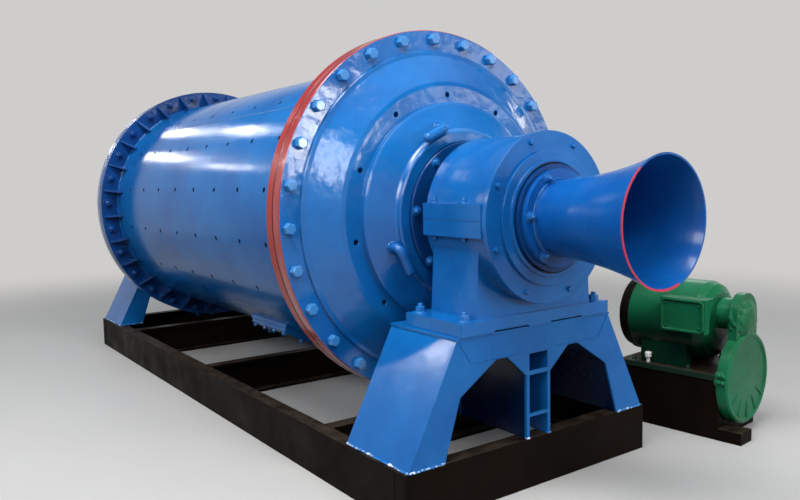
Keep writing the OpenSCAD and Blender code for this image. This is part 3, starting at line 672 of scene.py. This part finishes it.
def slab(bm, centre, half, corner, out, levels):
    """A rounded rectangle in the plane across +X, stepped outwards by (inset, height) levels."""
    loops = []
    for inset, height in levels:
        hy, hz, r = half[0] - inset, half[1] - inset, max(corner - inset, 0.002)
        loop = []
        for k, (cy, cz) in enumerate(((1, 1), (-1, 1), (-1, -1), (1, -1))):
            for j in range(corner_steps + 1):
                a = math.radians(90 * k + 90 / corner_steps * j)
                y = cy * (hy - r) + r * math.cos(a)
                z = cz * (hz - r) + r * math.sin(a)
                loop.append(bm.verts.new(Vector(centre) + Vector((out * height, y, z))))
        loops.append(loop)
    join_loops(bm, loops)
    bm.faces.new(loops[-1])


lid = bmesh.new()
slab(lid, lid_middle, lid_half, lid_corner, -1, lid_levels)
for sy in (-1, 1):
    for sz in (-1, 1):
        at = (lid_middle[0] - 0.002, lid_middle[1] + sy * (lid_half[0] - screw_inset),
              lid_middle[2] + sz * (lid_half[1] - screw_inset))
        fastener(lid, at, (-1, 0, 0), 0.010, draw.uniform(0, 1), washer=False)
turn_unit(lid)
piece("terminal_box_lid", lid, motor_green, "frame")

# Gear case cover: a round lid with a raised rim and low ribs in its lower half, and the nuts that
# hold it at the edge, all under the same green enamel.
gear_cover = bmesh.new()
face = (motor_x, -case_front, case_z)
lathe(gear_cover, [(0.2375, -0.012), (0.2375, 0.004), (0.230, 0.013), (0.216, 0.013),
                   (0.208, 0.006), (0.060, 0.010)], face, aim, 84)
rib_start, rib_end, rib_steps = 0.120, 0.212, 8
for i in range(5):
    a = math.radians(214 + 28 * i)
    reach = [rib_start + (rib_end - rib_start) * k / rib_steps for k in range(rib_steps + 1)]
    rib = [Vector((motor_x + r * math.cos(a), -case_front - 0.008, case_z + r * math.sin(a)))
           for r in reach]
    bead(gear_cover, rib, 0.0065, 600 + i)
for i in range(4):
    at = (motor_x - 0.234 + 0.003 * (i % 2), 0.014 + 0.020 * (i // 2) - case_front,
          case_z + 0.012 + 0.034 * (i % 2))
    fastener(gear_cover, at, (-1, -0.4, 0.1), 0.022, draw.uniform(0, 1), stud=0.008)
turn_unit(gear_cover)
piece("gear_case_cover", gear_cover, motor_green, "frame")

# Shaft seal: a lump of hardened sealing compound, pressed by hand round the upper shaft in front
# of the neck and painted over in green.
lump_half = (0.122, 0.052, 0.112)
lump = bmesh.new()
bmesh.ops.create_icosphere(lump, subdivisions=5, radius=1.0)
for v in lump.verts:
    n = v.co.normalized()
    fold = noise.noise(n * 3.1) * 0.12 + abs(noise.noise(n * 7.3 + Vector((4, 0, 0)))) * 0.13
    v.co = Vector((motor_x + lump_half[0] * n.x * (1 + fold),
                   0.026 - case_front + lump_half[1] * n.y * (1 + 0.5 * fold),
                   neck_z - 0.020 + lump_half[2] * n.z * (1 + fold)))
turn_unit(lump)
piece("shaft_seal_lump", lump, motor_green, "frame", crease=60)

# Pedestal's top plate: a lip of folded plate that stands out a little round the black box, painted
# a dull green that dust has settled on.
dull_green = enamel("dull_green", (0.006, 0.017, 0.010), (0.010, 0.026, 0.015), gloss=0.35,
                    swell=0.4, dust=0.3, coat=0.1)
ped_low = (motor_x - 0.210, -2.333)
ped_high = (motor_x + 0.210, -1.780)
ped_top = 0.334
edge, lap, lip = 0.007, 0.001, 0.030
out_low = (ped_low[0] - edge, ped_low[1] - edge)
out_high = (ped_high[0] + edge, ped_high[1] + edge)
top_plate = bmesh.new()
left_lip = (out_low, (ped_low[0] + lap, out_high[1]))
right_lip = ((ped_high[0] - lap, out_low[1]), out_high)
front_lip = (out_low, (out_high[0], ped_low[1] + lap))
back_lip = ((out_low[0], ped_high[1] - lap), out_high)
for lo, hi in (left_lip, right_lip, front_lip, back_lip):
    for v in bmesh.ops.create_cube(top_plate, size=1.0)["verts"]:
        v.co = Vector((lo[0] + (v.co.x + 0.5) * (hi[0] - lo[0]),
                       lo[1] + (v.co.y + 0.5) * (hi[1] - lo[1]),
                       ped_top + 0.001 - lip * (0.5 - v.co.z)))
bmesh.ops.bevel(top_plate, geom=top_plate.edges[:], offset=0.0015, segments=2, affect="EDGES")
turn_unit(top_plate)
piece("pedestal_top_plate", top_plate, dull_green, "frame")

# Motor's foot bolts: four nuts on studs that hold the casting's feet down on the pedestal. They
# were painted with the plate.
foot_bolts = bmesh.new()
for sx in (-1, 1):
    for y in (-1.850, -2.160):
        fastener(foot_bolts, (motor_x + sx * 0.190, y, ped_top), (0, 0, 1), 0.024,
                 draw.uniform(0, 1), stud=0.008)
turn_unit(foot_bolts)
piece("motor_foot_bolts", foot_bolts, dull_green, "frame")

# Grease cup: a small turned cup of white plastic, screwed into the pedestal's top plate near its
# edge. It was put in after painting.
white_plastic, body, add, link = shader("white_plastic")
aged = mottle(add, add("TexCoord").outputs["Object"], 80.0, 3.0)
link(blend_colours(add, aged, (0.62, 0.61, 0.58, 1), (0.74, 0.73, 0.70, 1)), "Base Color")
body.inputs["Roughness"].default_value = 0.4
cup = bmesh.new()
lathe(cup, [(0.010, -0.004), (0.010, 0.026), (0.017, 0.029), (0.018, 0.052), (0.015, 0.056)],
      (ped_low[0] + 0.024, -1.930, ped_top), (0, 0, 1), 28)
turn_unit(cup)
piece("grease_cup", cup, white_plastic, "frame")

# Floor: pale and plain, a dull grey that keeps the mill's shadow and fades into a backdrop of the
# pale tone further out. Mirrors see it as the camera does; it throws less light back at the mill.
pale = (0.62, 0.61, 0.60)
floor_half = 90
fade_start, fade_end = 3.2, 8.5
floor_mesh = bpy.data.meshes.new("floor")
floor_mesh.from_pydata([(-floor_half, -floor_half, 0), (floor_half, -floor_half, 0),
                        (floor_half, floor_half, 0), (-floor_half, floor_half, 0)], [],
                       [(0, 1, 2, 3)])
floor = bpy.data.objects.new("floor", floor_mesh)
bpy.context.scene.collection.objects.link(floor)
floor.location.z = -0.001


def seen_rays(add):
    """1 for rays that show a surface: from the camera, off a gloss, or through glass."""
    rays = add("LightPath").outputs
    seen = reckon(add, "MAXIMUM", rays["Is Camera Ray"], rays["Is Glossy Ray"])
    return reckon(add, "MAXIMUM", seen, rays["Is Transmission Ray"])


floor_paint, body, add, link = shader("floor_paint")
place = add("TexCoord").outputs["Object"]
speck = mottle(add, place, 1.3, 5.0)
concrete = blend_colours(add, speck, (0.40, 0.395, 0.385, 1), (0.44, 0.435, 0.43, 1))
link(concrete, "Base Color")
body.inputs["Roughness"].default_value = 0.5
body.inputs["Specular IOR Level"].default_value = 0.08
out_from_middle = add("VectorMath", {0: place}, operation="LENGTH").outputs["Value"]
far_off = stretch(add, out_from_middle, fade_start, fade_end, course="SMOOTHERSTEP")
seen = seen_rays(add)
share = reckon(add, "MULTIPLY", far_off, seen)
backdrop = add("Emission", {"Color": (*pale, 1), "Strength": 1.0}).outputs[0]
dull = add("BsdfDiffuse", {"Color": (0.16, 0.15, 0.145, 1)}).outputs[0]
near_by = add("MixShader", {0: seen, 1: dull, 2: body.outputs[0]}).outputs[0]
both = add("MixShader", {0: share, 1: near_by, 2: backdrop}).outputs[0]
floor_paint.node_tree.links.new(both, floor_paint.node_tree.nodes["Material Output"].inputs[0])
floor_mesh.materials.append(floor_paint)
floor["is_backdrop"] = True

# Surroundings: pale round about, darker higher up and bright overhead, the same for the camera and
# for mirrors. What lights the mill from there is a soft bluish grey.
world = bpy.data.worlds.new("studio")
bpy.context.scene.world = world
world.use_nodes = True
air = node_maker(world.node_tree)
light = world.node_tree.nodes["Background"]
light.inputs[0].default_value = (0.80, 0.87, 0.96, 1)
light.inputs[1].default_value = 0.235
height = split(air, air("TexCoord").outputs["Generated"])["Z"]
higher_up = stretch(air, height, 0.30, 0.42, course="SMOOTHSTEP")
around = blend_colours(air, higher_up, (*pale, 1), (0.10, 0.15, 0.20, 1))
overhead = stretch(air, height, 0.45, 0.90, course="SMOOTHSTEP")
around = blend_colours(air, overhead, around, (0.80, 0.86, 0.92, 1))
shown = air("Background", {0: around, 1: 1.0}).outputs[0]
both = air("MixShader", {0: seen_rays(air), 1: light.outputs[0], 2: shown}).outputs[0]
world.node_tree.links.new(both, world.node_tree.nodes["World Output"].inputs[0])


# Studio lamps: soft panels above, to the left and in front, and small far ones that only make the
# broad streaks of light in the enamel of drum and covers.
def lamp(name, place, target, size, power, mirrored=True):
    data = bpy.data.lights.new(name, "AREA")
    data.shape = "RECTANGLE"
    data.size, data.size_y = size
    data.energy = power
    o = bpy.data.objects.new(name, data)
    bpy.context.scene.collection.objects.link(o)
    o.location = place
    o.rotation_euler = (Vector(target) - Vector(place)).to_track_quat("-Z", "Y").to_euler()
    o.visible_camera = False
    o.visible_glossy = mirrored


lamp("overhead_panel", (-2.2, -2.4, 6.2), (0, -0.5, 1.0), (5.0, 1.6), 415)
lamp("left_panel", (-7.0, -3.5, 4.8), (0, -1.0, 1.0), (4.2, 2.2), 330)
lamp("front_panel", (-0.2, -7.4, 5.9), (0, -1.5, 1.0), (2.6, 1.2), 205, mirrored=False)
lamp("low_front_fill", (2.2, -9.0, 1.7), (0, -2.0, 0.9), (2.4, 1.4), 190, mirrored=False)
lamp("upper_streak_far", (-0.23, 13.5, 6.3), (0, 0, 1.2), (0.84, 0.67), 32)
lamp("upper_streak_near", (-1.29, 8.93, 5.97), (0, 0, 1.2), (0.67, 0.60), 23)
lamp("lower_streak_far", (-3.25, 15.8, 5.9), (0, 0, 1.2), (1.7, 0.6), 52)
lamp("lower_streak_near", (-5.4, 14.1, 5.6), (0, 0, 1.2), (1.2, 0.5), 29)
lamp("side_streak", (-5.2, 4.9, 3.95), (-0.5, -2.0, 0.7), (0.5, 0.4), 52)
lamp("right_streak", (4.05, -10.3, 2.2), (0, -1.5, 1.5), (1.0, 1.3), 96)
lamp("cover_streak", (-4.3, -8.9, 4.9), (-0.6, -1.6, 1.4), (0.8, 3.2), 105)
lamp("far_right_panel", (8.4, -8.7, 3.3), (0, -1.5, 1.5), (5.0, 1.4), 70)
lamp("right_fill", (7.0, 1.0, 4.5), (0, 0, 1.0), (3.0, 2.0), 60)

# Camera: where the picture of the real mill was taken from, by a fit to its rims, hole rows and
# frame. It stands beside the discharge end, a little below the top of the drum.
camera_data = bpy.data.cameras.new("camera")
camera_data.sensor_width = 36.0
camera_data.lens = 751.37 / 800 * camera_data.sensor_width
camera = bpy.data.objects.new("camera", camera_data)
bpy.context.scene.collection.objects.link(camera)
bpy.context.scene.camera = camera
camera_place = (-2.352, -4.440, 1.355)
yaw, pitch, roll = 0.6223, 0.0945, -0.0195
ahead = Vector((math.sin(yaw) * math.cos(pitch), math.cos(yaw) * math.cos(pitch), -math.sin(pitch)))
right = Vector((math.cos(yaw), -math.sin(yaw), 0))
up = right.cross(ahead)
across = math.cos(roll) * right + math.sin(roll) * up
above = -math.sin(roll) * right + math.cos(roll) * up
axes = Matrix((across, above, -ahead)).transposed().to_4x4()
camera.matrix_world = Matrix.Translation(camera_place) @ axes
bpy.context.scene.view_settings.view_transform = "Standard"

low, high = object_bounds()
